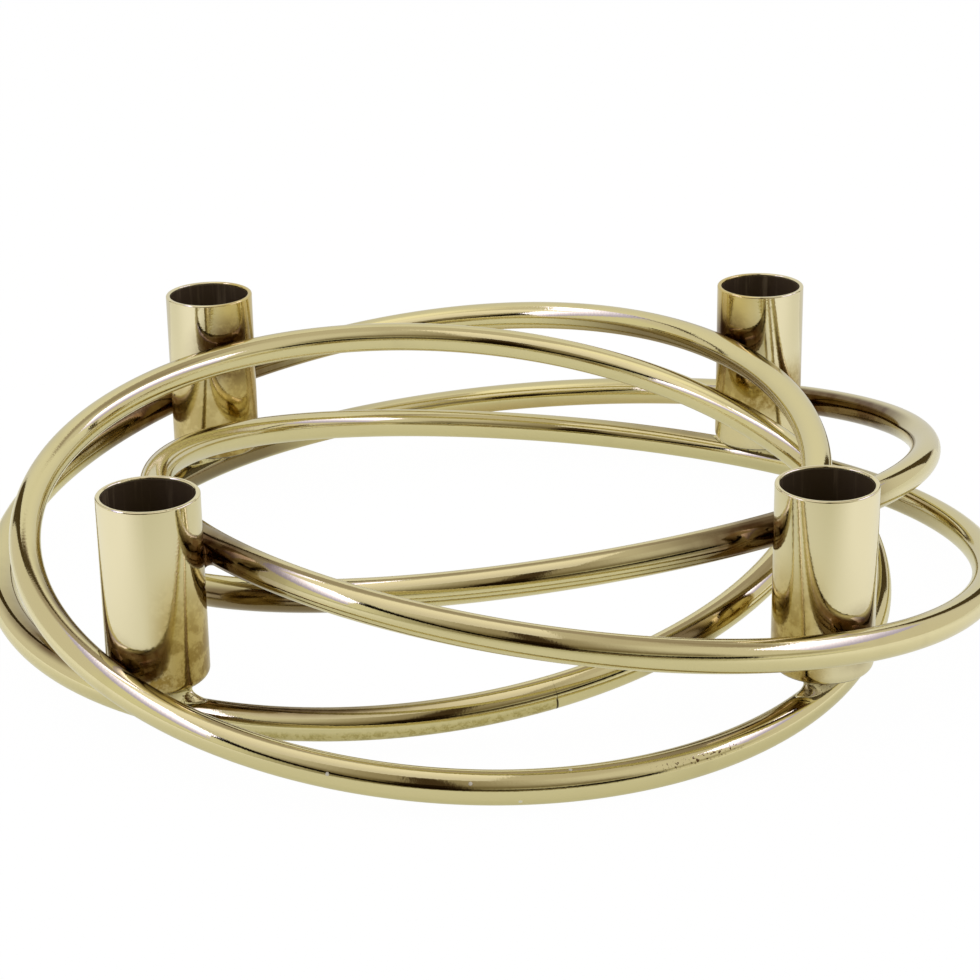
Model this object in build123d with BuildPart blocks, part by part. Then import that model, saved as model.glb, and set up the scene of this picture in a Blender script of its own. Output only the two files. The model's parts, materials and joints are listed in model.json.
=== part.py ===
"""Advent candle holder: four candle cups joined by four tilted hoops of round rod.

Millimetres, +Z up, the floor at z = 0 and the middle of the four cups on the Z axis.
Seen from above the corners run counter-clockwise: front right, back right, back left,
front left. Each hoop carries the cup of its own corner, leans on the outside of the cup
before it and on the inside of the cup across, and passes free inside the cup after it.
Every hoop is worked out in the frame of the front right corner and then turned to its own.
"""

import math
import os

from build123d import *

os.makedirs("parts", exist_ok=True)

# Candle cup
cup_bore = 22.2  # takes a standard 22 mm candle
cup_wall = 1.2
cup_floor = 2.0
cup_height = 46.8
cup_foot_round = 2.5
cup_rim_round = 0.4
cup_spread = 79.2  # from the Z axis to a cup's axis, along X and along Y

# Hoop
rod_diameter = 8.0
hoop_past_axis = 2.3  # the hoop runs this far outside the axis of the cup that it carries
hoop_saddle = 1.45  # its lowest and highest stretches stand this far off its plane
hoop_saddle_angle = -64.0
hoop_lobe = 0.9  # slight three-sided roundness of the hand-bent rod
hoop_lobe_angle = 49.0
seam_width = 0.35  # butt joint where the ends of a bent rod meet
seam_angle = 19.0
seam_corner = "front_left"

# How each hoop lies: its tilt, and how far its rise turns away from its cup's diagonal
hoop_tilt_angle = {"front_right": 10.4, "back_right": 9.6, "back_left": 9.8, "front_left": 10.1}
hoop_rise_angle = {"front_right": -16.5, "back_right": 1.0, "back_left": -9.0, "front_left": 0.5}

# Solder
side_gap = 0.15  # film left between a hoop and a cup's side
foot_gap = 0.2  # film left between the highest hoop and the feet of the cups
base_solder_lip = 0.3  # the base solder starts this much wider than the rod
base_solder_flare = 2.5  # and ends this much wider than the rod under the foot
base_solder_start = 1.0  # above the middle of the rod
side_solder_reach = 6.0  # along the hoop, to each side of the touching point
side_solder_inset = 0.6  # inside the top and bottom of the rod

# Derived sizes and the places of the cups that a hoop meets
rod_radius = rod_diameter / 2
cup_radius = cup_bore / 2 + cup_wall
touch_distance = cup_radius + rod_radius + side_gap
corners = ["front_right", "back_right", "back_left", "front_left"]
own_cup = Vector(cup_spread, -cup_spread)
outer_cup = Vector(-cup_spread, -cup_spread)
inner_cup = Vector(-cup_spread, cup_spread)
diagonal = 135.0  # direction from the own cup to the inner cup, from +X
samples = 720
arc_count = 8
standing = (Align.CENTER, Align.CENTER, Align.MIN)


def hoop_axes(corner):
    """Directions across, along and square to the plane of a tilted hoop."""
    tilt = math.radians(hoop_tilt_angle[corner])
    rise = math.radians(diagonal + hoop_rise_angle[corner])
    normal = Vector(
        -math.sin(tilt) * math.cos(rise), -math.sin(tilt) * math.sin(rise), math.cos(tilt)
    )
    across = Vector(0, 1, 0).cross(normal).normalized()
    return across, normal.cross(across), normal


def loose_hoop_point(axes, radius, turn):
    """A point of a hoop's centre line about its own middle, before the hoop is placed."""
    across, along, normal = axes
    angle = math.radians(turn)
    out = radius + hoop_lobe * math.cos(3 * (angle - math.radians(hoop_lobe_angle)))
    lift = hoop_saddle * math.cos(2 * (angle - math.radians(hoop_saddle_angle)))
    return across * (out * math.cos(angle)) + along * (out * math.sin(angle)) + normal * lift


def loose_hoop_points(corner, radius):
    """Evenly turned points of a hoop's centre line about its own middle."""
    axes = hoop_axes(corner)
    return [loose_hoop_point(axes, radius, 360 * i / samples) for i in range(samples)]


def nearest_point(points, axis):
    """The point that is nearest to an upright axis seen from above."""
    return min(points, key=lambda p: math.hypot(p.X - axis.X, p.Y - axis.Y))


def passing_distance(points, axis):
    """How far outside an upright axis a hoop about the Z axis passes, negative if inside."""
    near = nearest_point(points, axis)
    distance = math.hypot(near.X - axis.X, near.Y - axis.Y)
    return math.copysign(distance, math.hypot(near.X, near.Y) - math.hypot(axis.X, axis.Y))


def placing_errors(corner, x, y, radius):
    """What a hoop of this middle and radius misses at its outer, inner and own cups."""
    points = loose_hoop_points(corner, radius)
    middle = Vector(x, y)
    return Vector(
        passing_distance(points, outer_cup - middle) - touch_distance,
        passing_distance(points, inner_cup - middle) + touch_distance,
        passing_distance(points, own_cup - middle) - hoop_past_axis,
    )


def place_hoop(corner):
    """Radius and middle of a hoop that stands on the floor and meets its three cups."""
    x, y, radius = 0, 0, own_cup.length
    step = 0.5
    for _ in range(8):
        miss = placing_errors(corner, x, y, radius)
        by_x = (placing_errors(corner, x + step, y, radius) - miss) * (1 / step)
        by_y = (placing_errors(corner, x, y + step, radius) - miss) * (1 / step)
        by_radius = (placing_errors(corner, x, y, radius + step) - miss) * (1 / step)
        volume = by_x.dot(by_y.cross(by_radius))
        x -= miss.dot(by_y.cross(by_radius)) / volume
        y -= by_x.dot(miss.cross(by_radius)) / volume
        radius -= by_x.dot(by_y.cross(miss)) / volume
    lowest = min(p.Z for p in loose_hoop_points(corner, radius))
    return radius, Vector(x, y, rod_radius - lowest)


hoop_place = {corner: place_hoop(corner) for corner in corners}


def hoop_point(corner, turn):
    """A point of the placed hoop's centre line."""
    radius, middle = hoop_place[corner]
    return loose_hoop_point(hoop_axes(corner), radius, turn) + middle


def hoop_way(corner, turn):
    """Direction of the hoop's centre line at a turn."""
    return (hoop_point(corner, turn + 0.01) - hoop_point(corner, turn - 0.01)).normalized()


hoop_points = {c: [hoop_point(c, 360 * i / samples) for i in range(samples)] for c in corners}


def hoop_top_under_cup(corner):
    """Height of a hoop's top where it reaches up to the rounded foot of its own cup."""
    flat = cup_radius - cup_foot_round
    slope = math.radians(hoop_tilt_angle[corner])
    heights = []
    for point in hoop_points[corner]:
        away = math.hypot(point.X - own_cup.X, point.Y - own_cup.Y)
        if away < cup_radius:
            past = max(0, away - flat)
            rounding = cup_foot_round - math.sqrt(cup_foot_round**2 - past**2)
            heights.append(point.Z + rod_radius / math.cos(slope) - rounding)
    return max(heights)


cup_foot = max(hoop_top_under_cup(corner) for corner in corners) + foot_gap


def meeting_of_two_arcs(start, start_way, end, end_way):
    """Where two arcs meet that join start and end along the given ways, and their way there."""
    chord = end - start
    bend = 2 * (1 - start_way.dot(end_way))
    lean = chord.dot(start_way + end_way)
    reach = (math.sqrt(lean**2 + bend * chord.dot(chord)) - lean) / bend
    before = start + start_way * reach
    after = end - end_way * reach
    return (before + after) * 0.5, (after - before).normalized()


def make_rod(corner, start, end, spans):
    """Round rod along tangent arcs that follow the hoop's centre line between two turns."""
    turns = [start + (end - start) * i / spans for i in range(spans + 1)]
    with BuildPart() as rod:
        with BuildLine():
            for first, last in zip(turns, turns[1:]):
                a, b = hoop_point(corner, first), hoop_point(corner, last)
                way_a, way_b = hoop_way(corner, first), hoop_way(corner, last)
                middle, way_middle = meeting_of_two_arcs(a, way_a, b, way_b)
                TangentArc(a, middle, tangent=way_a)
                TangentArc(middle, b, tangent=way_middle)
        with BuildSketch(Plane(origin=hoop_point(corner, start), z_dir=hoop_way(corner, start))):
            Circle(rod_radius)
        sweep()
    return rod.part


def make_hoop(corner, seam_half):
    """Closed hoop, or one that leaves room for its seam, from two half turns of rod."""
    opposite = seam_angle + 180
    with BuildPart() as hoop:
        add(make_rod(corner, seam_angle + seam_half, opposite, arc_count // 2))
        add(make_rod(corner, opposite, seam_angle + 360 - seam_half, arc_count // 2))
    return hoop.part


def make_cup(axis):
    """Drawn cup with its floor, standing at the height of all feet on an upright axis."""
    with BuildPart(Plane.XY.offset(cup_foot).move(Location((axis.X, axis.Y, 0)))) as cup:
        Cylinder(cup_radius, cup_height, align=standing)
        with Locations((0, 0, cup_floor)):
            Cylinder(cup_bore / 2, cup_height - cup_floor, align=standing, mode=Mode.SUBTRACT)
        fillet(cup.edges().group_by(Axis.Z)[0], cup_foot_round)
        fillet(cup.edges().group_by(Axis.Z)[-1], cup_rim_round)
    return cup.part


def make_side_solder(corner, axis, hoop):
    """Solder between a hoop and the side of a cup that it leans on."""
    point = nearest_point(hoop_points[corner], axis)
    toward = Vector(point.X - axis.X, point.Y - axis.Y).normalized()
    start = Vector(axis.X, axis.Y, point.Z) + toward * (cup_radius - cup_wall)
    with BuildPart() as solder:
        with BuildSketch(Plane(origin=start, x_dir=(-toward.Y, toward.X, 0), z_dir=toward)):
            Ellipse(side_solder_reach, rod_radius - side_solder_inset)
        extrude(amount=cup_wall + side_gap + rod_radius)
        add(make_cup(axis), mode=Mode.SUBTRACT)
        add(hoop, mode=Mode.SUBTRACT)
    return solder.part


def make_base_solder(corner, hoop):
    """Solder between a hoop and the foot of the cup that it carries."""
    point = nearest_point(hoop_points[corner], own_cup)
    low = point.Z + base_solder_start
    with BuildPart() as solder:
        with Locations((point.X, point.Y, low)):
            Cone(
                rod_radius + base_solder_lip,
                rod_radius + base_solder_flare,
                cup_foot - low,
                align=standing,
            )
        add(hoop, mode=Mode.SUBTRACT)
    return solder.part


def write(solid, piece, corner):
    """Turn one piece to its corner, label it and write its file."""
    turned = solid.moved(Location((0, 0, 0), (0, 0, 90 * corners.index(corner))))
    turned.label = f"{piece}_{corner}"
    export_step(turned, f"parts/{turned.label}.step")


for corner in corners:
    seam_half = 0
    if corner == seam_corner:
        seam_half = math.degrees(seam_width / hoop_place[corner][0]) / 2
        write(make_rod(corner, seam_angle - seam_half, seam_angle + seam_half, 1), "hoop_seam", corner)
    hoop = make_hoop(corner, seam_half)
    write(hoop, "hoop", corner)
    write(make_cup(own_cup), "candle_cup", corner)
    write(make_base_solder(corner, hoop), "solder_base", corner)
    write(make_side_solder(corner, outer_cup, hoop), "solder_outer", corner)
    write(make_side_solder(corner, inner_cup, hoop), "solder_inner", corner)
    radius, middle = hoop_place[corner]
    print(corner, "hoop radius", round(radius, 3), "middle", [round(v, 3) for v in middle])

print("cup foot", round(cup_foot, 3), "rim", round(cup_foot + cup_height, 3))
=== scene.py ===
# %% [markdown]
# # Advent candle holder
#
# Four polished brass cups stand on four tilted brass hoops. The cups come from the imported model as
# they are. The hoops are made again as smooth rods along its lines, and the solder seams as hollow
# fillets. This lesson also adds a camera, a studio to reflect and a brass finish.

# %% Load the frame
import json
import math

import bmesh
import bpy
import numpy as np
from mathutils import Matrix, Vector, noise
from mathutils.bvhtree import BVHTree


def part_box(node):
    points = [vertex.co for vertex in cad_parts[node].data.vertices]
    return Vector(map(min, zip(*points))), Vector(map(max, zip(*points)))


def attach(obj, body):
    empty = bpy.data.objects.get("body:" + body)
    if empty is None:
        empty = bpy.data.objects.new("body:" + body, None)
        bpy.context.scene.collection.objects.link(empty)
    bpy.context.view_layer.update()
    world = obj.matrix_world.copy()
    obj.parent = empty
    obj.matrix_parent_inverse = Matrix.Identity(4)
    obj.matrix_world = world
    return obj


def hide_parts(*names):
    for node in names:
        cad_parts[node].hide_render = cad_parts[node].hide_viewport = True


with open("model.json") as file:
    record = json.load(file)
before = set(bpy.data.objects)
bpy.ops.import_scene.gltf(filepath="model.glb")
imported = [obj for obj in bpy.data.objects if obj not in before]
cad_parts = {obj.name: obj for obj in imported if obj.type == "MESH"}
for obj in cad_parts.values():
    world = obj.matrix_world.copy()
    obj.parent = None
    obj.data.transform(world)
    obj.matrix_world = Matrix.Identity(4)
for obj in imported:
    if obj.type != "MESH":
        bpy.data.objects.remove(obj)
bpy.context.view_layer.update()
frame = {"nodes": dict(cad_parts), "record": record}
mm = 0.001
corners = ["front_right", "back_right", "back_left", "front_left"]
before = {corner: corners[i - 1] for i, corner in enumerate(corners)}
across = {corner: corners[i - 2] for i, corner in enumerate(corners)}
mounts = {mount["name"]: mount for mount in frame["record"]["mounts"]}
cup_axis = {corner: Vector(mounts[f"candle_socket_{corner}"]["pos_m"]) for corner in corners}
bore_radius = mounts["candle_socket_front_left"]["dims"]["r_mm"] * mm

# %% [markdown]
# ## Camera
#
# The picture was taken from the front, a little above the rims, with a long lens. The place, the
# turn and the focal length were measured from the outlines of the hoops and the rims, so the
# camera is set by numbers and not by eye. The lens keeps no shift and no depth of field.

# %% Camera
picture_pixels = 980
focal_pixels = 2721.5
camera_place = Vector((0.2, -670.2, 286.2)) * mm
camera_yaw = 0.0006
camera_pitch = 0.3699
camera_roll = 0.0156

lens = bpy.data.cameras.new("camera")
lens.sensor_width = 36
lens.lens = lens.sensor_width * focal_pixels / picture_pixels
lens.dof.use_dof = False
camera = bpy.data.objects.new("camera", lens)
turned = Matrix.Rotation(-camera_yaw, 4, "Z") @ Matrix.Rotation(math.pi / 2 - camera_pitch, 4, "X")
rolled = turned @ Matrix.Rotation(-camera_roll, 4, "Z")
camera.matrix_world = Matrix.Translation(camera_place) @ rolled
bpy.context.scene.collection.objects.link(camera)
bpy.context.scene.camera = camera
bpy.context.scene.view_settings.view_transform = "Standard"
print("lens", round(lens.lens, 2), "mm")

# %% [markdown]
# ## Shader maths
#
# Node trees are long to write by hand. A small class wraps one socket, so that an expression such
# as `1 - mask * 0.5` adds its Math nodes by itself. One method, `make`, adds any other node: its
# settings come first, and then the values or links of its sockets.

# %% Shader maths
class Shade:
    """One output socket of a node tree that takes part in arithmetic."""

    def __init__(self, tree, socket=None):
        self.tree = tree
        self.socket = socket

    def make(self, kind, settings=None, inputs=None, output=0):
        node = self.tree.nodes.new(kind)
        for name, value in (settings or {}).items():
            setattr(node, name, value)
        for name, value in (inputs or {}).items():
            if isinstance(value, Shade):
                self.tree.links.new(value.socket, node.inputs[name])
            else:
                node.inputs[name].default_value = value
        return Shade(self.tree, node.outputs[output] if node.outputs else None)

    def maths(self, operation, *values):
        inputs = {i: value for i, value in enumerate(values)}
        return self.make("ShaderNodeMath", {"operation": operation}, inputs)

    def __add__(self, other):
        return self.maths("ADD", self, other)

    __radd__ = __add__

    def __sub__(self, other):
        return self.maths("SUBTRACT", self, other)

    def __rsub__(self, other):
        return self.maths("SUBTRACT", other, self)

    def __mul__(self, other):
        return self.maths("MULTIPLY", self, other)

    __rmul__ = __mul__

    def __truediv__(self, other):
        return self.maths("DIVIDE", self, other)

    def __abs__(self):
        return self.maths("ABSOLUTE", self)

    def lowest(self, other):
        return self.maths("MINIMUM", self, other)

    def highest(self, other):
        return self.maths("MAXIMUM", self, other)

    def rise(self, low, high):
        """0 below low, 1 above high, and a soft step between them. It falls if low is above high."""
        settings = {"interpolation_type": "SMOOTHSTEP"}
        inputs = {"Value": self, "From Min": min(low, high), "From Max": max(low, high)}
        step = self.make("ShaderNodeMapRange", settings, inputs)
        return step if low < high else 1 - step

    def blend(self, first, second):
        """Mixes two colours, with this value as the factor."""
        settings = {"data_type": "RGBA"}
        return self.make("ShaderNodeMix", settings, {0: self, 6: first, 7: second}, output=2)

    def axes(self):
        """The X, Y and Z of a vector, as three values."""
        split = self.make("ShaderNodeSeparateXYZ", None, {0: self})
        outputs = split.socket.node.outputs
        return [Shade(self.tree, outputs[i]) for i in range(3)]

    def vector(self, operation, other, output="Vector"):
        return self.make("ShaderNodeVectorMath", {"operation": operation}, {0: self, 1: other}, output)

    def distance(self, point):
        return self.vector("DISTANCE", point, "Value")


def grey(level):
    return (level, level, level, 1.0)


def ray_kind(shade, kind):
    """1 for a ray of this kind, such as Is Camera Ray, and 0 for the others."""
    return shade.make("ShaderNodeLightPath", output=kind)


# %% [markdown]
# ## Studio
#
# Polished metal has hardly a colour of its own: what shows is the room. The reflections in the
# picture hint at what stood around the object, and this room is an approximation of it. The world
# holds the walls and the ceiling by direction, which is enough for all that is far away: a warm, dim
# room behind the camera, a brighter ceiling, and the dark edge where a pale table ends. An image of a
# room could do the same, but named fields in degrees can be changed one by one. The background is
# white because camera rays see white there.

# %% World
studio_level = 0.733
wall_colour = (1.0, 0.95, 0.86, 1.0)
studio_patches = {
    "room at the back": (146, 214, 16, -5, 62, 14, (0.56, 0.48, 0.41)),
    "dim corner at the right": (98, 152, 10, 48, 68, 10, (0.5, 0.42, 0.34)),
    "dim ceiling": (-181, 181, 1, 62, 95, 14, (0.84, 0.77, 0.67)),
    "bright ceiling": (-170, 10, 40, 68, 95, 16, (1.52, 1.46, 1.28)),
    "room behind the camera": (-36, 28, 46, -20, 71, 18, (0.48, 0.41, 0.3)),
    "dim lower room": (-50, 48, 16, -20, 31, 26, (0.24, 0.19, 0.1)),
    "paper at the right": (12, 78, 24, 9, 19, 6, (0.62, 0.57, 0.42)),
    "stand of the camera": (-9, 4, 6, -20, 70, 20, (0.08, 0.05, 0.025)),
    "foot of the stand": (-15, 3, 8, 4, 27, 8, (0.02, 0.01, 0.003)),
}
dark_edge_low = 9.0
dark_edge_climb = 25.0
dark_edge_half = 4.5
dark_edge_left = 2.0
dark_edge_front = 1.9
dark_edge_right = 2.6
left_span = 57.0
dark_edge_colour = (0.008, 0.004, 0.001, 1.0)
paper_colour = (1.08, 1.05, 0.85, 1.0)

world = bpy.data.worlds.new("studio")
world.use_nodes = True
world.node_tree.nodes.clear()
sky = Shade(world.node_tree)
way = sky.make("ShaderNodeTexCoord", output="Generated")
way_x, way_y, way_z = way.axes()
degrees = 180 / math.pi
turn = sky.maths("ARCTAN2", way_x, 0 - way_y) * degrees
height = sky.maths("ARCSINE", way_z) * degrees


def patch(west, east, soft_side, low, high, soft_rise):
    """A soft-edged field of the room, in degrees from the camera's side and above the horizon."""
    middle, half = (west + east) / 2, (east - west) / 2
    aside = abs(sky.maths("WRAP", turn - middle, 180, -180))
    above = abs(height - (low + high) / 2)
    return aside.rise(half + soft_side / 2, half - soft_side / 2) * above.rise(
        (high - low + soft_rise) / 2, (high - low - soft_rise) / 2
    )


# %% Room colours
room = wall_colour
for *field, colour in studio_patches.values():
    room = patch(*field).blend(room, (*colour, 1.0))
to_left = (0 - turn).highest(0) / left_span
edge_height = dark_edge_low + to_left * to_left * dark_edge_climb
below_edge = (edge_height - height).rise(1, 9) * abs(turn).rise(12, 72) * patch(-90, 80, 10, -20, 60, 10)
room = below_edge.blend(room, paper_colour)
edge_half = dark_edge_half + to_left * dark_edge_left
edge_half = edge_half - turn.rise(-6, 8) * dark_edge_front + turn.rise(22, 36) * dark_edge_right
dark_edge = (abs(height - edge_height) - edge_half).rise(1.5, -1.5) * patch(-60, 52, 6, -20, 60, 6)
room = dark_edge.blend(room, dark_edge_colour)
backdrop = way_y.rise(0.85, 0.97) * height.rise(30, 20)
mirrored = (ray_kind(sky, "Is Glossy Ray") + ray_kind(sky, "Is Transmission Ray")) * backdrop
room = mirrored.blend(room, grey(1.0)).vector("MULTIPLY", (studio_level, studio_level, studio_level))
seen = ray_kind(sky, "Is Camera Ray").blend(room, grey(1.0))
light = sky.make("ShaderNodeBackground", None, {"Color": seen, "Strength": 1.0})
sky.make("ShaderNodeOutputWorld", None, {"Surface": light})
bpy.context.scene.world = world
print("world", len(world.node_tree.nodes), "nodes")


# %% [markdown]
# ## Near studio
#
# What stands close to the object must shift from hoop to hoop, as near things do, and a world that
# only knows directions can't do that. So these things are flat sheets that shine: two soft lamps to
# the left and right, a white card close behind, a white roof over the front left, and dark gaps beside
# and above the card. The camera doesn't see them. They are only there to be reflected.

# %% Sheets
def sheet(name, middle, half_side, half_rise, material):
    """A flat sheet of the studio, from its middle and the two half edges that span it."""
    side, rise = Vector(half_side), Vector(half_rise)
    stand = Matrix((side, rise, side.cross(rise).normalized())).transposed().to_4x4()
    shape = bmesh.new()
    stand = Matrix.Translation(middle) @ stand
    bmesh.ops.create_grid(shape, x_segments=1, y_segments=1, size=1.0, matrix=stand)
    mesh = bpy.data.meshes.new(name)
    shape.to_mesh(mesh)
    shape.free()
    mesh.materials.append(material)
    piece = bpy.data.objects.new(name, mesh)
    bpy.context.scene.collection.objects.link(piece)
    print(name, "area", round(sum(face.area for face in mesh.polygons), 3))
    return piece


def glow(name, middle, half_side, half_rise, low_colour, colour):
    """A material that only shines, from one colour at a sheet's lower edge to another above it."""
    material = bpy.data.materials.new(name)
    material.use_nodes = True
    material.node_tree.nodes.clear()
    shade = Shade(material.node_tree)
    place = shade.make("ShaderNodeTexCoord", output="Object").vector("SUBTRACT", middle)
    upright = Vector(half_rise) - Vector(half_rise).project(Vector(half_side))
    level = place.vector("DOT_PRODUCT", upright / upright.length_squared, "Value")
    shown = level.rise(-1.0, 0.9).blend((*low_colour, 1.0), (*colour, 1.0))
    lit = shade.make("ShaderNodeEmission", None, {"Color": shown, "Strength": studio_level})
    shade.make("ShaderNodeOutputMaterial", None, {"Surface": lit})
    return material


lamp_white = (3.2, 3.1, 5.0)
lamp_low = (0.75, 0.7, 1.3)
card_white = (1.16, 1.13, 1.02)
card_low = (0.94, 0.92, 0.88)
roof_edge = (1.05, 0.98, 0.96)
roof_white = (1.42, 1.34, 1.28)
gap_dark = (0.1, 0.07, 0.03)
studio_sheets = {
    "soft_box_left": ((-0.48, 0.06, 0.635), (0, 0.44, 0.4), (0, 0, 0.17), lamp_low, lamp_white),
    "soft_box_right": ((0.8, 0.16, 0.66), (0, 0.44, 0.1), (0, 0, 0.25), lamp_low, lamp_white),
    "white_card": ((-0.005, 0.165, 0.105), (0.215, 0, -0.012), (0, 0, 0.11), card_low, card_white),
    "white_roof": ((-0.11, -0.12, 0.35), (0.17, 0, 0), (0, 0.15, 0), roof_edge, roof_white),
    "dark_gap_left": ((-0.253, 0.17, 0.16), (0.031, 0, 0), (0.0, 0, 0.11), gap_dark, gap_dark),
    "dark_gap_top": ((-0.2, 0.172, 0.262), (0.075, 0, 0), (0.0, 0, 0.022), gap_dark, gap_dark),
    "dark_gap_right": ((0.245, 0.17, 0.11), (0.033, 0, 0), (0.0, 0, 0.065), gap_dark, gap_dark),
}
for name, (middle, half_side, half_rise, low_colour, colour) in studio_sheets.items():
    finish = glow(name, middle, half_side, half_rise, low_colour, colour)
    sheet(name, middle, half_side, half_rise, finish).visible_camera = False

# %% [markdown]
# ## Floor
#
# The picture has a white ground with hardly a shadow. A plain white floor would turn grey in the
# dim room, so most of what the camera sees of it is a steady white, and a small share is a lit surface
# that keeps the shadow. In the metal the floor shows with its own levels, by place: painted light at
# its sides, and painted shade in the middle, behind the object and far in front.

# %% Floor
floor_colour = (0.86, 0.87, 0.8, 1.0)
floor_white = 1.015
# The floor's levels in the metal: painted light at the sides, painted shade in the middle, behind the
# object and far in front.
floor_in_metal = (0.88, 0.88, 0.74, 1.0)
floor_in_metal_lit_aside = (1.26, 1.26, 1.24, 1.0)
floor_in_metal_shaded_far = (0.5, 0.49, 0.3, 1.0)
floor_in_metal_back = (1.02, 1.02, 0.94, 1.0)
floor_in_metal_shaded_behind = (0.62, 0.52, 0.3, 1.0)
shadow_shown = 0.03
shadow_reflected = 0.45

pale = bpy.data.materials.new("pale_floor")
pale.use_nodes = True
pale.node_tree.nodes.clear()
table = Shade(pale.node_tree)
lit = table.make("ShaderNodeBsdfDiffuse", None, {"Color": floor_colour})
reflected = ray_kind(table, "Is Glossy Ray") + ray_kind(table, "Is Transmission Ray")
aside, away, _ = table.make("ShaderNodeTexCoord", output="Object").axes()
side_white = away.rise(-0.05, 0.1).blend(floor_in_metal_lit_aside, floor_in_metal_back)
middle_white = away.rise(0.09, 0.13).blend(floor_in_metal, floor_in_metal_shaded_behind)
mirrored = abs(aside).rise(0.06, 0.2).blend(middle_white, side_white)
mirrored = away.rise(-0.16, -0.36).blend(mirrored, floor_in_metal_shaded_far)
bright = reflected.blend(grey(floor_white), mirrored)
white = table.make("ShaderNodeEmission", None, {"Color": bright, "Strength": 1.0})
share = ray_kind(table, "Is Camera Ray") * (1 - shadow_shown) + reflected * (1 - shadow_reflected)
mixed = table.make("ShaderNodeMixShader", None, {0: share, 1: lit, 2: white})
table.make("ShaderNodeOutputMaterial", None, {"Surface": mixed})
sheet("floor", (0, 0.6, 0), (1.5, 0, 0), (0, 1.4, 0), pale)

# %% [markdown]
# ## Brass
#
# The holder is polished brass with a pale, slightly green gold. Its finish is a metallic shader:
# the colour is the metal's own, and roughness says how sharp the room shows in it. Where the pieces
# were soldered the heat left a brown film that polishing did not reach. So the finish takes a mask
# that grows toward the joints and breaks up in noise. On the rods the same brown is also painted
# shade, on the sides that face the cups and the middle of the ring. All patterns read Object
# coordinates or the unrolled map of a rod, so they stay on the metal from every side.

# %% Brass finish
bright_brass = (0.75, 0.678, 0.389, 1.0)
pale_brass = (0.815, 0.745, 0.49, 1.0)
golden_brass = (0.7, 0.56, 0.22, 1.0)
olive_brass = (0.55, 0.47, 0.19, 1.0)
dried_olive = (0.36, 0.3, 0.1, 1.0)
stained_brass = (0.33, 0.225, 0.06, 1.0)
brown_brass = (0.116, 0.058, 0.02, 1.0)
polished = 0.06

joint = {}
for corner in corners:
    for seat in ("base", "outer", "inner"):
        low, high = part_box(f"solder_{seat}_{corner}")
        joint[seat, corner] = (low + high) / 2


def new_finish(name):
    material = bpy.data.materials.new(name)
    material.use_nodes = True
    material.node_tree.nodes.clear()
    shade = Shade(material.node_tree)
    return material, shade, shade.make("ShaderNodeTexCoord", output="Object")


def clouds(place, scale, detail=3.0, rough=0.55):
    inputs = {"Vector": place, "Scale": scale, "Detail": detail, "Roughness": rough}
    return place.make("ShaderNodeTexNoise", None, inputs)


def near(place, points, far, close):
    """1 within the close distance of any of the points, falling softly to 0 at the far one."""
    nearest = place.distance(points[0])
    for point in points[1:]:
        nearest = nearest.lowest(place.distance(point))
    return nearest.rise(far, close)


def joints(seat):
    return [joint[seat, corner] for corner in corners]


def close_finish(shade, colour, roughness, height, bump_distance, metallic=1.0):
    """Ends a metal finish: its colour, its roughness and the height of its fine relief."""
    bump = {"Strength": 1.0, "Distance": bump_distance, "Height": height}
    relief = shade.make("ShaderNodeBump", None, bump)
    inputs = {"Base Color": colour, "Metallic": metallic, "Roughness": roughness, "Normal": relief}
    surface = shade.make("ShaderNodeBsdfPrincipled", None, inputs)
    shade.make("ShaderNodeOutputMaterial", None, {"Surface": surface})


def give(finish, nodes):
    for node in nodes:
        slots = frame["nodes"][node].data.materials
        slots.clear()
        slots.append(finish)
    print(finish.name, "on", len(nodes), "pieces")


# %% [markdown]
# ## Hoops
#
# Each hoop is a round rod, bent by hand to a ring that is not quite flat and not quite round. The
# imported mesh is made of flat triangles, and a polished rod shows every one of them. So the centre
# line is measured from that mesh by least squares, and a smooth rod is spun along it: a circle
# turned round an axis makes a ring, and every point of the ring then moves to the measured line.

# %% Hoop lines
rod_radius = 4.0 * mm
line_values = 10
fit_rounds = 8
fit_step = 1e-6


def hoop_axes(slope_x, slope_y):
    """Two directions in the plane of a tilted hoop, and the one square to it."""
    normal = Vector((slope_x, slope_y, 1)).normalized()
    across = Vector((0, 1, 0)).cross(normal).normalized()
    return np.array((across, normal.cross(across), normal))


def line_offsets(values, turn):
    """How far out and how high above its plane a hoop's centre line runs at a turn."""
    radius, lobe_c, lobe_s, saddle_c, saddle_s = values[5:]
    out = radius + lobe_c * np.cos(3 * turn) + lobe_s * np.sin(3 * turn)
    return out, saddle_c * np.cos(2 * turn) + saddle_s * np.sin(2 * turn)


def off_surface(values, points):
    """How far points lie off the surface of a rod along this centre line."""
    across, along, above = hoop_axes(*values[3:5]) @ (points - values[:3]).T
    out, lift = line_offsets(values, np.arctan2(along, across))
    return np.hypot(np.hypot(across, along) - out, above - lift) - rod_radius


def measure_hoop(node):
    """Middle, slopes, radius, lobe and saddle of a hoop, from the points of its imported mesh."""
    points = np.array([vertex.co for vertex in frame["nodes"][node].data.vertices])
    values = np.zeros(line_values)
    values[:3] = points.mean(axis=0)
    values[5] = np.ptp(points[:, 0]) / 2 - rod_radius
    for _ in range(fit_rounds):
        miss = off_surface(values, points)
        steps = fit_step * np.eye(line_values)
        slopes = np.array([(off_surface(values + step, points) - miss) / fit_step for step in steps])
        values = values - np.linalg.lstsq(slopes.T, miss, rcond=None)[0]
    return values, np.abs(off_surface(values, points)).max()


hoop_line = {}
for corner in corners:
    hoop_line[corner], worst = measure_hoop(f"hoop_{corner}")
    print(corner, "hoop radius", round(hoop_line[corner][5] / mm, 2), "mm, off by", round(worst / mm, 3))

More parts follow.
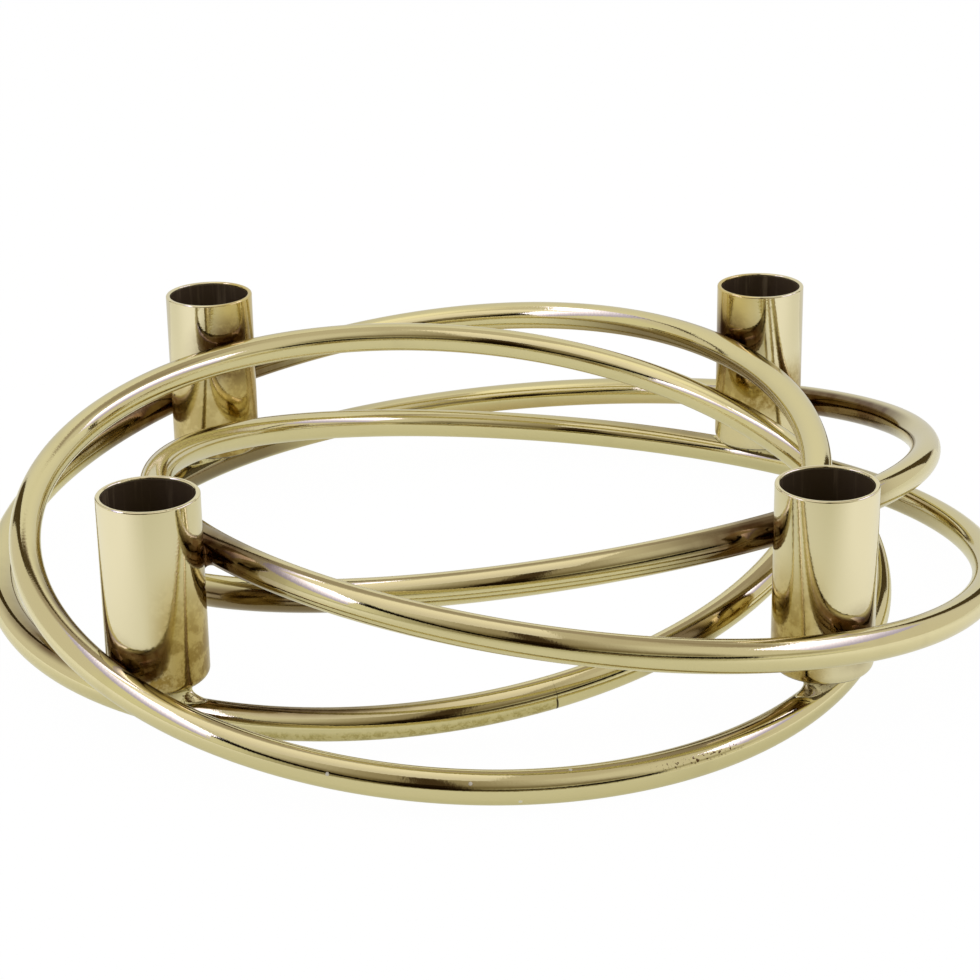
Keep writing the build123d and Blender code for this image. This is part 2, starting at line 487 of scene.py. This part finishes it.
# %% Hoop rods
rod_sides = 40
hoop_steps = 300
seam_box = [np.array(v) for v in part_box("hoop_seam_front_left")]
seam_width = 0.35 * mm
waviness = 0.006 * mm
wave_scale = 70.0


def turn_of(corner, point):
    """The turn of a hoop's centre line at which a point lies."""
    values = hoop_line[corner]
    across, along, _ = hoop_axes(*values[3:5]) @ (np.array(point) - values[:3])
    return math.atan2(along, across)


def unroll(shape, radius, start):
    """Writes each face corner's turn along a ring and its side round the rod to a map."""
    unrolled = shape.loops.layers.uv.new("unrolled")
    full = 2 * math.pi
    for face in shape.faces:
        middle = face.calc_center_median()
        face_turn = (math.atan2(middle.y, middle.x) - start) % full
        face_side = math.atan2(middle.z, math.hypot(middle.x, middle.y) - radius)
        for loop in face.loops:
            point = loop.vert.co
            turn = math.atan2(point.y, point.x) - start
            side = math.atan2(point.z, math.hypot(point.x, point.y) - radius)
            turn += full * round((face_turn - turn) / full)
            side += full * round((face_side - side) / full)
            loop[unrolled].uv = (turn / full, side / full)


def bend_to_line(shape, values):
    """Moves the points of a flat ring to the measured centre line, with a trace of waviness."""
    axes = hoop_axes(*values[3:5])
    for vertex in shape.verts:
        turn = math.atan2(vertex.co.y, vertex.co.x)
        out, lift = line_offsets(values, turn)
        wave = 1 + waviness / rod_radius * noise.noise(vertex.co * wave_scale)
        outward = out + (math.hypot(vertex.co.x, vertex.co.y) - values[5]) * wave
        upward = lift + vertex.co.z * wave
        local = (outward * math.cos(turn), outward * math.sin(turn), upward)
        vertex.co = Vector(values[:3] + axes.T @ np.array(local))


def make_hoop(corner):
    """A smooth rod along the measured line, closed, or open where the seam of its ends shows."""
    values = hoop_line[corner]
    seamed = corner == "front_left"
    gap = seam_width / values[5] if seamed else 0.0
    start = turn_of(corner, sum(seam_box) / 2) + gap / 2 if seamed else turn_of(corner, cup_axis[corner])
    shape = bmesh.new()
    upright = Matrix.Rotation(math.pi / 2, 4, "X")
    stand = Matrix.Rotation(start, 4, "Z") @ Matrix.Translation((values[5], 0, 0)) @ upright
    bmesh.ops.create_circle(shape, cap_ends=False, segments=rod_sides, radius=rod_radius, matrix=stand)
    bmesh.ops.spin(
        shape,
        geom=shape.verts[:] + shape.edges[:],
        cent=(0, 0, 0),
        axis=(0, 0, 1),
        angle=2 * math.pi - gap,
        steps=hoop_steps,
        use_merge=not seamed,
    )
    if seamed:
        ends = [edge for edge in shape.edges if edge.is_boundary]
        bmesh.ops.holes_fill(shape, edges=ends)
        for edge in ends:
            edge.smooth = False
    bmesh.ops.recalc_face_normals(shape, faces=shape.faces)
    unroll(shape, values[5], start)
    for face in shape.faces:
        face.smooth = len(face.verts) == 4
    bend_to_line(shape, values)
    mesh = bpy.data.meshes.new(f"hoop_rod_{corner}")
    shape.to_mesh(mesh)
    shape.free()
    rod = bpy.data.objects.new(f"hoop_rod_{corner}", mesh)
    bpy.context.scene.collection.objects.link(rod)
    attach(rod, "root")
    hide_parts(f"hoop_{corner}")
    print(rod.name, len(mesh.polygons), "faces")
    return rod


hoop_rods = {corner: make_hoop(corner) for corner in corners}

# %% [markdown]
# ## Marks of the hoops
#
# No two hoops look alike. Each has a brown film near its joints, which on the sides of the rod that
# face a cup is painted shade as well, and some have painted shade on the side that faces the middle of
# the ring. Some have marks of their own: a brown spot, a stained side beside the seam, a line of pits
# and a few specks of dust. A painted picture could show them, but masks by distance and by side are
# sharp at any size. The unrolled map gives the side of the rod: 0 faces outward, and a quarter faces up.

# %% Hoop marks
dust_places = ((-4.8, -132.5, 8.1), (17.5, -127.1, 8.4), (-36.6, -129.2, 9.4), (6.2, -132.1, 3.2))
dust_specks = [Vector(point) * mm for point in dust_places]
pale_dust = (0.9, 0.88, 0.8, 1.0)
pitted_spot = Vector((47.2, -117.6, 6.3)) * mm
brown_spots = {
    "front_left": (Vector((45.0, -83.0, 19.8)) * mm, 14 * mm, 5 * mm, 0.24),
    "back_left": (Vector((-55.0, -73.0, 26.5)) * mm, 34 * mm, 14 * mm, 0.14),
}
outer_reach = {corner: (58 * mm, 20 * mm) for corner in corners}
outer_reach["back_left"] = (75 * mm, 45 * mm)
outer_reach["back_right"] = (40 * mm, 12 * mm)
base_reach = {corner: (76 * mm, 18 * mm) for corner in corners}
base_reach["front_right"] = (95 * mm, 30 * mm)
base_reach["front_left"] = (95 * mm, 35 * mm)
# Painted shade on the side of a rod that faces the middle of the ring: the joint it grows from, its
# reach and its strength.
inward_shades = {
    "back_left": ("base", 46 * mm, 18 * mm, 0.75),
    "back_right": ("base", 105 * mm, 50 * mm, 0.5),
    "front_left": ("inner", 70 * mm, 26 * mm, 0.75),
}


def joint_film_and_shade(corner, place, side):
    """Brown film near the three joints of a hoop, which is also painted shade on the sides of the rod
    that face the cups.
    """
    x, _, _ = place.axes()
    # At each joint the brown lies on the side of the rod that faces the cup, where it is painted shade
    # as well as film.
    film = near(place, [joint["inner", corner]], 46 * mm, 14 * mm) * abs(side).rise(0.24, 0.14)
    outer = near(place, [joint["outer", corner]], *outer_reach[corner]) * abs(side).rise(0.26, 0.33)
    if corner == "back_left":
        outer = outer * x.rise(80 * mm, 92 * mm)
    film = film.highest(outer)
    if corner == "front_left":
        top_side = abs(side - 0.28).rise(0.15, 0.07) * 0.9
    else:
        top_side = abs(side - 0.3).rise(0.12, 0.05) * 0.55
    film = film.highest(near(place, [joint["base", corner]], *base_reach[corner]) * top_side)
    if across[corner].startswith("front"):
        film = film.highest(near(place, [joint["inner", corner]], 30 * mm, 8 * mm) * 0.85)
    return film


def inward_shade(corner, place, side):
    """Painted shade, in the brown of the joint film, on the side of a hoop that faces the middle of the
    ring.
    """
    x, _, _ = place.axes()
    seat, far, close, strength = inward_shades[corner]
    inward = side.rise(-0.3, -0.4).highest(side.rise(0.42, 0.47))
    if corner == "back_right":
        inward = inward * x.rise(95 * mm, 112 * mm)
    return near(place, [joint[seat, corner]], far, close) * inward * strength


def brown_spot(corner, place, side):
    spot, far, close, side_end = brown_spots[corner]
    return near(place, [spot], far, close) * side.rise(side_end, side_end - 0.08) * 0.8


def drying_marks(place, turn, side):
    """The stain on the lower side beside the seam, and the fine lines in it."""
    wet = turn.rise(0.84, 0.9) * abs(side + 0.14).rise(0.17, 0.1)
    drops = clouds(place, 420.0, 6.0, 0.75)
    stain = wet * (0.55 + drops.rise(0.38, 0.62) * 0.45)
    return stain, wet * abs(drops - 0.55).rise(0.05, 0.01) * 0.6


def pits_and_dust(place, side):
    line = abs(side - 0.115).rise(0.05, 0.02) * near(place, [pitted_spot], 14 * mm, 8 * mm)
    pits = line * clouds(place, 1500.0, 2.0).rise(0.56, 0.62)
    return pits, near(place, dust_specks, 0.6 * mm, 0.3 * mm)


print("marks", len(brown_spots), "spots", len(inward_shades), "shades", len(dust_specks), "specks")


# %% Hoop brass
def hoop_finish(corner):
    """Polished rod that is brown near the joints, with the marks of its own hoop."""
    finish, shade, place = new_finish(f"hoop_brass_{corner}")
    turn, side, _ = shade.make("ShaderNodeUVMap", {"uv_map": "unrolled"}).axes()
    mottle = clouds(place, 170.0, 4.0)
    streak = clouds(place, 45.0)
    # Brown film near the joints, which is also painted shade on the sides of the rod that face the cups.
    heat = joint_film_and_shade(corner, place, side)
    tarnish_and_shade = heat * (0.85 + mottle.rise(0.35, 0.65) * 0.15) + streak.rise(0.55, 0.8) * 0.1
    dull = heat * mottle.rise(0.5, 0.75) * 0.05
    bare = bright_brass
    if corner in brown_spots:
        brown = brown_spot(corner, place, side)
        tarnish_and_shade = tarnish_and_shade.highest(brown)
        dull = dull + brown * 0.1
    # Painted shade on the side of the rod that faces the middle of the ring.
    if corner in inward_shades:
        tarnish_and_shade = tarnish_and_shade.highest(inward_shade(corner, place, side))
    if corner == "front_left":
        stain, lines = drying_marks(place, turn, side)
        bare = lines.blend(stain.blend(bright_brass, olive_brass), dried_olive)
        dull = dull + stain * 0.08
    colour = tarnish_and_shade.blend(bare, brown_brass)
    if corner == "front_right":
        pits, dust = pits_and_dust(place, side)
        colour = dust.blend(pits.blend(colour, brown_brass), pale_dust)
        dull = dull + pits * 0.3 + dust * 0.5
    grain = clouds(place, 1400.0, 2.0)
    close_finish(shade, colour, polished + dull + grain * 0.02, grain, 0.00001)
    return finish


for corner, rod in hoop_rods.items():
    rod.data.materials.append(hoop_finish(corner))
    print(rod.name, "has", rod.data.materials[0].name)

# %% [markdown]
# ## Cups
#
# The cups look drawn from sheet and polished. Outside they are mirrors, with a dull brown patina low
# down, most of all on the side that faces the middle of the ring. Inside they are dark, dull and
# streaked down the wall. One material serves all four: masks by height above the foot and by distance
# from the cup's axis say where each finish lies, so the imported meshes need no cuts.

# %% Cup brass
cup_spread = abs(cup_axis["front_right"].x)
cup_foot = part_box("candle_cup_front_right")[0].z
cup_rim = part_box("candle_cup_front_right")[1].z
cup_wall = 1.2 * mm
wall_middle = bore_radius + cup_wall / 2
inner_dark = (0.11, 0.076, 0.038, 1.0)
inner_streak = (0.27, 0.21, 0.12, 1.0)

cup_brass, shade, place = new_finish("cup_brass")
x, y, z = place.axes()
off_x, off_y = abs(x) - cup_spread, abs(y) - cup_spread
from_axis = off_x.maths("SQRT", off_x * off_x + off_y * off_y)
below_rim = z.rise(cup_rim - 0.3 * mm, cup_rim - 0.8 * mm)
inside = from_axis.rise(wall_middle, wall_middle - 0.4 * mm) * below_rim
on_right = x.rise(-1 * mm, 1 * mm)
on_left = x.rise(1 * mm, -1 * mm)
at_back = y.rise(-1 * mm, 1 * mm)


def low_part(end, full):
    """1 up to the full height over the cups' feet, in millimetres, fading to 0 at the end height."""
    return z.rise(cup_foot + end * mm, cup_foot + full * mm)


mottle = clouds(place, 260.0, 6.0, 0.7)
heat = near(place, joints("inner"), 15 * mm, 4 * mm)
heat = heat.highest(near(place, joints("outer"), 11 * mm, 4 * mm) * 0.5)
inner_side = off_x.rise(2 * mm, -7 * mm)
inner_foot = off_x.rise(11 * mm, 0.0) * low_part(15, 7) * on_left
back_low = at_back * low_part(30, 16)
outer_low = back_low * on_right * off_x.rise(-9 * mm, -4 * mm)
clean_foot = back_low * on_right * low_part(15, 9)
patina = (inner_side * low_part(34, 8)).highest(inner_foot).highest(outer_low)
patina = patina.highest(back_low * (1 - on_right) * 0.45) * (1 - clean_foot)
patina = patina * (0.45 + mottle.rise(0.4, 0.58) * 0.55)
gold = low_part(38, 14).highest(at_back) * inner_side
gold = gold.highest(back_low * 0.7) * (1 - clean_foot * 0.7)
pits = inner_side * near(place, joints("base"), 16 * mm, 9 * mm)
pits = pits * clouds(place, 2200.0, 2.0).rise(0.6, 0.66)
film = (heat * (0.55 + mottle.rise(0.3, 0.6) * 0.45)).highest(pits)
streaks = clouds(place.vector("MULTIPLY", (1.0, 1.0, 0.06)), 520.0, 3.0).rise(0.5, 0.75)
bare = streaks.blend(inner_dark, inner_streak)
grain = clouds(place, 1600.0, 2.0)
colour = patina.blend(gold.blend(pale_brass, golden_brass), stained_brass)
colour = film.blend(colour, brown_brass)
colour = inside.blend(colour, bare)
roughness = polished * 0.8 + patina * 0.07 + pits * 0.3 + inside * 0.42 + grain * 0.02
close_finish(shade, colour, roughness, grain + mottle * patina, 0.00001, 1 - inside * 0.6)
give(cup_brass, [f"candle_cup_{corner}" for corner in corners])

# %% [markdown]
# ## Butt seam
#
# The front left hoop shows where the ends of its rod meet. Solder fills the upper half of that
# seam and is polished away flush, and the lower half is left as a fine dark line.

# %% Seam
seam_middle = sum(seam_box) / 2
seam_finish, shade, place = new_finish("seam_finish")
soot = clouds(place, 900.0)
_, _, z = place.axes()
open_part = z.rise(seam_middle[2] + 0.8 * mm, seam_middle[2] - 0.4 * mm)
dark = soot.blend((0.06, 0.042, 0.024, 1.0), (0.16, 0.12, 0.05, 1.0))
colour = open_part.blend(bright_brass, dark)
close_finish(shade, colour, polished + open_part * 0.4, soot * open_part, 0.0001)
give(seam_finish, ["hoop_seam_front_left"])

# %% [markdown]
# ## Solder
#
# Molten solder is drawn into the narrow corner between a rod and a cup and sets there as a hollow
# fillet. Each joint gets one ring of solder: a circle is spun to a small closed ring, and every
# point then moves into the corner round the touching point. On its open side the ring starts on the
# cup, dips inward and ends on the rod. Its hidden side lies deeper in the corner.

# %% Solder places
def rod_place(corner, turn):
    """A point of a hoop's centre line, and the direction of the rod there."""
    values = hoop_line[corner]
    turns = np.array((turn, turn + 0.001))
    out, lift = line_offsets(values, turns)
    local = np.array((out * np.cos(turns), out * np.sin(turns), lift))
    here, ahead = (Vector(values[:3] + step) for step in (hoop_axes(*values[3:5]).T @ local).T)
    return here, (ahead - here).normalized()


def nearest_turn(corner, axis):
    """The turn at which a hoop passes nearest to an upright axis."""
    turns = np.linspace(-math.pi, math.pi, 2401)
    return min(turns, key=lambda turn: (rod_place(corner, turn)[0] - axis).to_2d().length)


cup_surface = {}
for corner in corners:
    mesh = frame["nodes"][f"candle_cup_{corner}"].data
    cup_surface[corner] = BVHTree.FromPolygons(
        [vertex.co for vertex in mesh.vertices], [face.vertices for face in mesh.polygons]
    )
print("cup surfaces", len(cup_surface))

# %% Solder rings
ring_steps = 72
ring_sides = 16
ring_radius = 1.0
sink = 0.12 * mm
reaches = {
    "base": {"along": 13.6 * mm, "up": 5.4 * mm, "down": 5.4 * mm, "rod": 16.0 * mm, "climb": 2.6 * mm},
    "outer": {"along": 4.5 * mm, "up": 1.5 * mm, "down": 5.0 * mm, "rod": 5.0 * mm, "climb": 0.0},
    "inner": {"along": 5.5 * mm, "up": 2.4 * mm, "down": 6.0 * mm, "rod": 6.5 * mm, "climb": 0.0},
}
swings = {
    "base": {"up": 1.0, "down": 1.0},
    "outer": {"up": 0.33, "down": 1.2},
    "inner": {"up": 0.55, "down": 1.4},
}
open_depth = 0.62
hidden_depth = 0.3
unevenness = 0.1
uneven_scale = 1.6
uneven_shift = 900


def solder_ring(seat, corner, cup):
    """A ring of solder in the corner between a hoop and a cup."""
    reach = reaches[seat]
    start = nearest_turn(corner, cup_axis[cup])
    middle, along = rod_place(corner, start)
    toward = Vector((0, 0, 1)) if seat == "base" else (cup_axis[cup] - middle) * Vector((1, 1, 0))
    toward = (toward - along * along.dot(toward)).normalized()
    touch, aside = middle + toward * rod_radius, along.cross(toward)

    def end(sine):
        return "up" if sine * aside.z > 0 else "down"

    def on_cup(cosine, sine, share):
        spot = touch + (along * cosine * reach["along"] + aside * sine * reach[end(sine)]) * share
        spot.z += reach["climb"] * cosine**2 * share
        place, normal, _, _ = cup_surface[cup].find_nearest(spot)
        return place - normal * sink

    def on_rod(cosine, sine, share):
        place, way = rod_place(corner, start + cosine * share * reach["rod"] / hoop_line[corner][5])
        face = (toward - way * way.dot(toward)).normalized()
        swing = sine * share * swings[seat][end(sine)]
        return place + (face * math.cos(swing) + way.cross(face) * math.sin(swing)) * (rod_radius - sink)

    shape = bmesh.new()
    stand = Matrix.Translation((ring_radius, 0, 0)) @ Matrix.Rotation(math.pi / 2, 4, "X")
    tube = ring_radius / 4
    bmesh.ops.create_circle(shape, cap_ends=False, segments=ring_sides, radius=tube, matrix=stand)
    bmesh.ops.spin(
        shape,
        geom=shape.verts[:] + shape.edges[:],
        cent=(0, 0, 0),
        axis=(0, 0, 1),
        angle=2 * math.pi,
        steps=ring_steps,
        use_merge=True,
    )
    for vertex in shape.verts:
        turn = math.atan2(vertex.co.y, vertex.co.x)
        side = math.atan2(vertex.co.z, math.hypot(vertex.co.x, vertex.co.y) - ring_radius) / math.pi
        ways = math.cos(turn), math.sin(turn)
        share = 1 + unevenness * noise.noise(Vector((*ways, 0)) * uneven_scale + touch * uneven_shift)
        deep = open_depth if side > 0 else hidden_depth
        first, last = on_cup(*ways, share), on_rod(*ways, share)
        bend = (on_cup(*ways, deep) + on_rod(*ways, deep)) / 2
        part = abs(side)
        vertex.co = first * (1 - part) ** 2 + bend * 2 * part * (1 - part) + last * part**2
    bmesh.ops.recalc_face_normals(shape, faces=shape.faces)
    for face in shape.faces:
        face.smooth = True
    mesh = bpy.data.meshes.new(f"solder_ring_{seat}_{corner}")
    shape.to_mesh(mesh)
    shape.free()
    ring = bpy.data.objects.new(mesh.name, mesh)
    bpy.context.scene.collection.objects.link(ring)
    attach(ring, "root")
    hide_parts(f"solder_{seat}_{corner}")
    return ring


solder_rings = []
for corner in corners:
    for seat, cup in (("base", corner), ("outer", before[corner]), ("inner", across[corner])):
        solder_rings.append(solder_ring(seat, corner, cup))
print("solder rings", len(solder_rings), "of", len(solder_rings[0].data.polygons), "faces")

# %% [markdown]
# ## Solder finish
#
# The solder looks less polished than the rods: lumpy, sooty in places and pitted, and brown at the
# joints on the sides of the cups. It could share the brass of the rods with more masks, but a finish of
# its own is shorter. It uses the same brass colours, so that it reads as one metal with the rods.

# %% Solder finish
solder_brass, shade, place = new_finish("solder_brass")
lumps = clouds(place, 420.0, 4.0)
heat = near(place, joints("inner") + joints("outer"), 20 * mm, 10 * mm)
soot = clouds(place, 260.0, 3.0).rise(0.48, 0.66) * 0.55
pits = clouds(place, 1300.0, 2.0).rise(0.62, 0.68)
colour = heat.highest(soot).highest(pits).blend(bright_brass, brown_brass)
close_finish(shade, colour, 0.1 + soot * 0.15 + pits * 0.3, lumps * (1 - heat) - pits * 0.3, 0.00025)
for ring in solder_rings:
    ring.data.materials.append(solder_brass)
print("solder finish", len(solder_brass.node_tree.nodes), "nodes")
